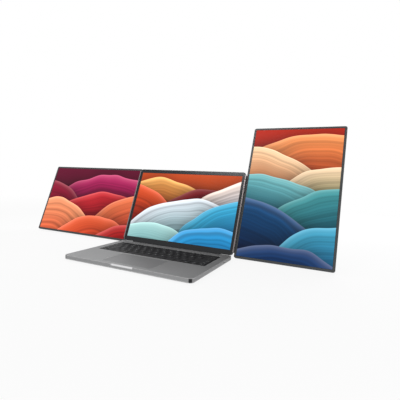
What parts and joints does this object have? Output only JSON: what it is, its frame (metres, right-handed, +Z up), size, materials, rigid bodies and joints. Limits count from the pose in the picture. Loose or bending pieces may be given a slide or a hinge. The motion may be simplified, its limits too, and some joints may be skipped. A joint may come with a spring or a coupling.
{
  "type": "clamshell computer with two clip-on portable monitors",
  "caption": "Hinged-lid computer with a portable monitor clamped to each side of its lid: one lies across, one stands upright, on sliding, swinging and turning arms.",
  "frame": {"origin": "on the desk, under the middle of the whole unit's outline", "axes": "+Z up, +X to the user's right, the user sits towards -Y"},
  "size_m": [0.9092, 0.3752, 0.3347],
  "materials": {
    "case_metal": "fine blasted satin",
    "tray_black": "matte",
    "key_black": "matte",
    "trackpad_surface": "smooth satin",
    "bezel_black": "gloss",
    "moulded_black": "fine grain",
    "lid_picture": "lit picture behind gloss",
    "left_picture": "lit picture behind satin",
    "right_picture": "lit picture behind satin",
    "steel": "brushed",
    "socket_metal": "drawn",
    "circuit_board": "coated",
    "battery_wrap": "foil",
    "rubber": "matte",
    "bracket_shell": "fine grain",
    "arm_metal": "anodised",
    "rail_metal": "anodised",
    "monitor_shell": "anodised",
    "monitor_bezel": "matte",
    "button_black": "matte"
  },
  "bodies": {
    "base": {"top_case": "case_metal", "bottom_cover": "case_metal", "keyboard_tray": "tray_black", "trackpad_frame": "steel", "battery_cells": "battery_wrap", "mainboard": "circuit_board", "base_speakers": "moulded_black", "rubber_feet": "rubber", "case_screws": "steel", "base_sockets": "socket_metal", "hinge_mounts": "steel"},
    "lid": {"lid_shell": "case_metal", "lid_screen": "lid_picture", "lid_bezel": "bezel_black", "hinge_cover": "moulded_black", "hinge_leaves": "steel", "webcam": "moulded_black", "bracket_housing": "bracket_shell", "bracket_cover": "bracket_shell", "bracket_pads": "rubber", "bracket_screws": "steel", "kickstand_pin": "steel"},
    "kickstand": {"kickstand_leg": "arm_metal", "kickstand_foot": "rubber"},
    "function_keys": {"function_keys": "key_black"},
    "number_keys": {"number_keys": "key_black"},
    "upper_letter_keys": {"upper_letter_keys": "key_black"},
    "home_letter_keys": {"home_letter_keys": "key_black"},
    "lower_letter_keys": {"lower_letter_keys": "key_black"},
    "bottom_row_keys": {"bottom_row_keys": "key_black"},
    "space_bar": {"space_bar": "key_black"},
    "trackpad": {"trackpad": "trackpad_surface"},
    "left_carrier": {"left_slide_arm": "arm_metal", "left_swing_pin": "steel", "left_clamp_rail": "rail_metal", "left_clamp_pad": "rubber"},
    "left_swing_arm": {"left_swing_arm": "arm_metal"},
    "left_monitor": {"left_monitor_back": "monitor_shell", "left_monitor_frame": "monitor_bezel", "left_monitor_screen": "left_picture", "left_driver_board": "circuit_board", "left_monitor_sockets": "socket_metal", "left_turntable": "arm_metal", "left_turntable_cap": "arm_metal"},
    "left_power_button": {"left_power_button": "button_black"},
    "left_menu_button": {"left_menu_button": "button_black"},
    "right_carrier": {"right_slide_arm": "arm_metal", "right_swing_pin": "steel", "right_clamp_rail": "rail_metal", "right_clamp_pad": "rubber"},
    "right_swing_arm": {"right_swing_arm": "arm_metal"},
    "right_monitor": {"right_monitor_back": "monitor_shell", "right_monitor_frame": "monitor_bezel", "right_monitor_screen": "right_picture", "right_driver_board": "circuit_board", "right_monitor_sockets": "socket_metal", "right_turntable": "arm_metal", "right_turntable_cap": "arm_metal"},
    "right_power_button": {"right_power_button": "button_black"},
    "right_menu_button": {"right_menu_button": "button_black"}
  },
  "joints": [
    {"name": "lid_hinge", "type": "hinge", "parent": "base", "child": "lid", "pos_m": [0.0649, 0.03739, 0.0077], "axis": [-1, 0, 0], "range_deg": [-102, 11]},
    {"name": "kickstand_hinge", "type": "hinge", "parent": "lid", "child": "kickstand", "pos_m": [0.0649, 0.11745, 0.11136], "axis": [1, 0, 0], "range_deg": [-42, 10]},
    {"name": "left_slide", "type": "slide", "parent": "lid", "child": "left_carrier", "axis": [-1, 0, 0], "range_m": [0, 0.018]},
    {"name": "right_slide", "type": "slide", "parent": "lid", "child": "right_carrier", "axis": [1, 0, 0], "range_m": [0, 0.018]},
    {"name": "left_swing", "type": "hinge", "parent": "left_carrier", "child": "left_swing_arm", "pos_m": [-0.1066, 0.10489, 0.10403], "axis": [0, 0.3746, 0.9272], "range_deg": [0, 45]},
    {"name": "right_swing", "type": "hinge", "parent": "right_carrier", "child": "right_swing_arm", "pos_m": [0.2364, 0.10489, 0.10403], "axis": [0, -0.3746, -0.9272], "range_deg": [0, 45]},
    {"name": "left_turn", "type": "hinge", "parent": "left_swing_arm", "child": "left_monitor", "pos_m": [-0.2117, 0.10489, 0.10403], "axis": [0, 0.9272, -0.3746], "range_deg": [0, 90]},
    {"name": "right_turn", "type": "hinge", "parent": "right_swing_arm", "child": "right_monitor", "pos_m": [0.3415, 0.10489, 0.10403], "axis": [0, -0.9272, 0.3746], "range_deg": [-90, 0]},
    {"name": "function_keys_press", "type": "slide", "parent": "base", "child": "function_keys", "axis": [0, 0, -1], "range_m": [0, 0.0008], "stiffness_N_per_m": 400, "springref_m": -0.001},
    {"name": "number_keys_press", "type": "slide", "parent": "base", "child": "number_keys", "axis": [0, 0, -1], "range_m": [0, 0.0008], "stiffness_N_per_m": 400, "springref_m": -0.001},
    {"name": "upper_letter_keys_press", "type": "slide", "parent": "base", "child": "upper_letter_keys", "axis": [0, 0, -1], "range_m": [0, 0.0008], "stiffness_N_per_m": 400, "springref_m": -0.001},
    {"name": "home_letter_keys_press", "type": "slide", "parent": "base", "child": "home_letter_keys", "axis": [0, 0, -1], "range_m": [0, 0.0008], "stiffness_N_per_m": 400, "springref_m": -0.001},
    {"name": "lower_letter_keys_press", "type": "slide", "parent": "base", "child": "lower_letter_keys", "axis": [0, 0, -1], "range_m": [0, 0.0008], "stiffness_N_per_m": 400, "springref_m": -0.001},
    {"name": "bottom_row_keys_press", "type": "slide", "parent": "base", "child": "bottom_row_keys", "axis": [0, 0, -1], "range_m": [0, 0.0008], "stiffness_N_per_m": 400, "springref_m": -0.001},
    {"name": "space_bar_press", "type": "slide", "parent": "base", "child": "space_bar", "axis": [0, 0, -1], "range_m": [0, 0.0008], "stiffness_N_per_m": 400, "springref_m": -0.001},
    {"name": "trackpad_press", "type": "slide", "parent": "base", "child": "trackpad", "axis": [0, 0, -1], "range_m": [0, 0.0003], "stiffness_N_per_m": 1500, "springref_m": -0.001},
    {"name": "left_power_button_press", "type": "slide", "parent": "left_monitor", "child": "left_power_button", "axis": [1, 0, 0], "range_m": [0, 0.0004], "stiffness_N_per_m": 800, "springref_m": -0.001},
    {"name": "left_menu_button_press", "type": "slide", "parent": "left_monitor", "child": "left_menu_button", "axis": [1, 0, 0], "range_m": [0, 0.0004], "stiffness_N_per_m": 800, "springref_m": -0.001},
    {"name": "right_power_button_press", "type": "slide", "parent": "right_monitor", "child": "right_power_button", "axis": [0, -0.3746, -0.9272], "range_m": [0, 0.0004], "stiffness_N_per_m": 800, "springref_m": -0.001},
    {"name": "right_menu_button_press", "type": "slide", "parent": "right_monitor", "child": "right_menu_button", "axis": [0, -0.3746, -0.9272], "range_m": [0, 0.0004], "stiffness_N_per_m": 800, "springref_m": -0.001}
  ]
}
